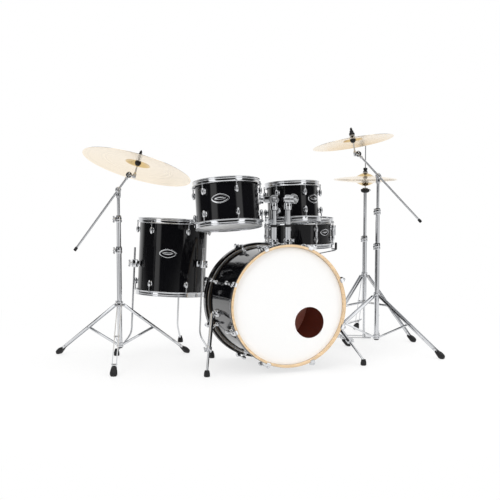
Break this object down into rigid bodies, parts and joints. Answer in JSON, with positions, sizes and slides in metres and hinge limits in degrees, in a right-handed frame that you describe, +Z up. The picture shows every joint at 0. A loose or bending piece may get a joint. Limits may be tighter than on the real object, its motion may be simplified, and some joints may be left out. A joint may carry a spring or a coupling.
{
  "type": "drum kit",
  "caption": "Acoustic drum kit: bass drum on spurs, rack toms on a double holder, floor tom on legs, snare, hi-hat and two boom cymbal stands.",
  "frame": {"origin": "on the floor, under the middle of the whole kit's footprint", "axes": "+X to the right of an onlooker who faces the bass drum's front, +Y from the front of the bass drum towards the drummer, +Z up"},
  "size_m": [1.9571, 1.0644, 1.1816],
  "materials": {
    "chrome": "polished chrome plate",
    "black_lacquer": "deep gloss black covered shell",
    "film_white": "coated white drum head",
    "hoop_wood": "maple hoop, black lacquer outside with a silver inlay",
    "bronze": "lathed brilliant bronze",
    "rubber": "moulded black rubber",
    "steel": "snare wire steel"
  },
  "bodies": {
    "kit_base": {"kick_shell": "black_lacquer", "kick_hoops": "hoop_wood", "kick_heads": "film_white", "kick_claws": "chrome", "kick_lugs": "chrome", "spur_brackets": "chrome", "tom_holder_base": "chrome", "floor_tom_shell": "black_lacquer", "floor_tom_hoops": "chrome", "floor_tom_heads": "film_white", "floor_tom_lugs": "chrome", "floor_tom_brackets": "chrome", "snare_stand_base": "chrome", "hihat_base": "chrome", "left_stand_base": "chrome", "right_stand_base": "chrome", "stand_feet": "rubber"},
    "left_mid": {"left_mid_tube": "chrome"},
    "left_top": {"left_top_tube": "chrome"},
    "left_boom_arm": {"left_boom": "chrome"},
    "left_tilt": {"left_tilter": "chrome"},
    "left_cymbal_plate": {"left_cymbal": "bronze"},
    "right_mid": {"right_mid_tube": "chrome"},
    "right_top": {"right_top_tube": "chrome"},
    "right_boom_arm": {"right_boom": "chrome"},
    "right_tilt": {"right_tilter": "chrome"},
    "right_cymbal_plate": {"right_cymbal": "bronze"},
    "hat_upper": {"hihat_upper_tube": "chrome", "hihat_bottom_cymbal": "bronze"},
    "hat_pull": {"hihat_rod": "chrome", "hihat_top_cymbal": "bronze"},
    "hat_footboard": {"hihat_footboard": "chrome"},
    "snare_post": {"snare_stand_tube": "chrome"},
    "snare_drum": {"snare_basket": "chrome", "snare_shell": "black_lacquer", "snare_hoops": "chrome", "snare_heads": "film_white", "snare_lugs": "chrome", "snare_strainer": "chrome", "snare_wires": "steel"},
    "throw_off": {"snare_lever": "chrome"},
    "tom_post_left": {"tom_post_left": "chrome"},
    "mid_tom": {"tom_arm_left": "chrome", "mid_tom_shell": "black_lacquer", "mid_tom_hoops": "chrome", "mid_tom_heads": "film_white", "mid_tom_lugs": "chrome"},
    "tom_post_right": {"tom_post_right": "chrome"},
    "high_tom": {"tom_arm_right": "chrome", "high_tom_shell": "black_lacquer", "high_tom_hoops": "chrome", "high_tom_heads": "film_white", "high_tom_lugs": "chrome"},
    "leg_1": {"floor_tom_leg_1": "chrome"},
    "leg_2": {"floor_tom_leg_2": "chrome"},
    "leg_3": {"floor_tom_leg_3": "chrome"},
    "spur_left": {"spur_left": "chrome"},
    "spur_tip_left": {"spur_tip_left": "chrome"},
    "spur_right": {"spur_right": "chrome"},
    "spur_tip_right": {"spur_tip_right": "chrome"}
  },
  "joints": [
    {"name": "left_lower_height", "type": "slide", "parent": "kit_base", "child": "left_mid", "axis": [0, 0, 1], "range_m": [0, 0.1]},
    {"name": "left_upper_height", "type": "slide", "parent": "left_mid", "child": "left_top", "axis": [0, 0, 1], "range_m": [0, 0.08]},
    {"name": "left_boom_tilt", "type": "hinge", "parent": "left_top", "child": "left_boom_arm", "pos_m": [-0.70361, 0.02041, 0.864], "axis": [-0.2419, -0.9703, 0], "range_deg": [-15, 15]},
    {"name": "left_cymbal_tilt", "type": "hinge", "parent": "left_boom_arm", "child": "left_tilt", "pos_m": [-0.65114, 0.00733, 0.93843], "axis": [-0.2419, -0.9703, 0], "range_deg": [-12, 12]},
    {"name": "left_cymbal_swing", "type": "hinge", "parent": "left_tilt", "child": "left_cymbal_plate", "pos_m": [-0.60058, 0.00831, 1.01133], "axis": [-0.2419, -0.9703, 0], "range_deg": [-5, 5]},
    {"name": "right_lower_height", "type": "slide", "parent": "kit_base", "child": "right_mid", "axis": [0, 0, 1], "range_m": [-0.03, 0.1]},
    {"name": "right_upper_height", "type": "slide", "parent": "right_mid", "child": "right_top", "axis": [0, 0, 1], "range_m": [-0.02, 0.08]},
    {"name": "right_boom_tilt", "type": "hinge", "parent": "right_top", "child": "right_boom_arm", "pos_m": [0.64099, -0.16585, 0.929], "axis": [-0.342, -0.9397, 0], "range_deg": [-15, 15]},
    {"name": "right_cymbal_tilt", "type": "hinge", "parent": "right_boom_arm", "child": "right_tilt", "pos_m": [0.54038, -0.12923, 1.04382], "axis": [-0.342, -0.9397, 0], "range_deg": [-12, 12]},
    {"name": "right_cymbal_swing", "type": "hinge", "parent": "right_tilt", "child": "right_cymbal_plate", "pos_m": [0.51229, -0.11435, 1.13112], "axis": [-0.342, -0.9397, 0], "range_deg": [-5, 5]},
    {"name": "hat_height", "type": "slide", "parent": "kit_base", "child": "hat_upper", "axis": [0, 0, 1], "range_m": [-0.01, 0.06]},
    {"name": "hat_pull", "type": "slide", "parent": "hat_upper", "child": "hat_pull", "axis": [0, 0, 1], "range_m": [-0.003, 0.015], "stiffness_N_per_m": 1500, "springref_m": 0.0095},
    {"name": "hat_pedal", "type": "hinge", "parent": "kit_base", "child": "hat_footboard", "pos_m": [0.51418, 0.36498, 0.019], "axis": [-0.4695, -0.8829, 0], "range_deg": [-0.7, 3.3]},
    {"name": "snare_height", "type": "slide", "parent": "kit_base", "child": "snare_post", "axis": [0, 0, 1], "range_m": [-0.03, 0.06]},
    {"name": "snare_tilt", "type": "hinge", "parent": "snare_post", "child": "snare_drum", "pos_m": [0.3262, 0.1627, 0.462], "axis": [1, 0, 0], "range_deg": [-8, 8]},
    {"name": "throw_off_lever", "type": "hinge", "parent": "snare_drum", "child": "throw_off", "pos_m": [0.51835, 0.10941, 0.603], "axis": [0.2672, 0.9636, 0], "range_deg": [0, 60]},
    {"name": "mid_tom_height", "type": "slide", "parent": "kit_base", "child": "tom_post_left", "axis": [0, 0, 1], "range_m": [0, 0.05]},
    {"name": "mid_tom_tilt", "type": "hinge", "parent": "tom_post_left", "child": "mid_tom", "pos_m": [-0.0318, -0.3933, 0.822], "axis": [0.3109, 0.9504, 0], "range_deg": [-4, 12]},
    {"name": "high_tom_height", "type": "slide", "parent": "kit_base", "child": "tom_post_right", "axis": [0, 0, 1], "range_m": [0, 0.05]},
    {"name": "high_tom_tilt", "type": "hinge", "parent": "tom_post_right", "child": "high_tom", "pos_m": [0.0402, -0.3933, 0.822], "axis": [0.8751, -0.4839, 0], "range_deg": [-4, 12]},
    {"name": "floor_tom_leg_1_height", "type": "slide", "parent": "kit_base", "child": "leg_1", "axis": [0.0593, 0.0349, 0.9976], "range_m": [-0.05, 0.03]},
    {"name": "floor_tom_leg_2_height", "type": "slide", "parent": "kit_base", "child": "leg_2", "axis": [0.0593, 0.0349, 0.9976], "range_m": [-0.05, 0.03]},
    {"name": "floor_tom_leg_3_height", "type": "slide", "parent": "kit_base", "child": "leg_3", "axis": [0.0593, 0.0349, 0.9976], "range_m": [-0.05, 0.03]},
    {"name": "spur_fold_left", "type": "hinge", "parent": "kit_base", "child": "spur_left", "pos_m": [-0.2858, -0.2383, 0.258], "axis": [-1, 0, 0], "range_deg": [0, 40]},
    {"name": "spur_length_left", "type": "slide", "parent": "spur_left", "child": "spur_tip_left", "axis": [-0.2946, -0.6939, -0.6571], "range_m": [-0.04, 0.05]},
    {"name": "spur_fold_right", "type": "hinge", "parent": "kit_base", "child": "spur_right", "pos_m": [0.2942, -0.2383, 0.258], "axis": [-1, 0, 0], "range_deg": [0, 40]},
    {"name": "spur_length_right", "type": "slide", "parent": "spur_right", "child": "spur_tip_right", "axis": [0.2946, -0.6939, -0.6571], "range_m": [-0.04, 0.05]}
  ],
  "couplings": [
    {"joint": "hat_pedal", "follows": "hat_pull", "rad_per_m": 3.8388}
  ]
}
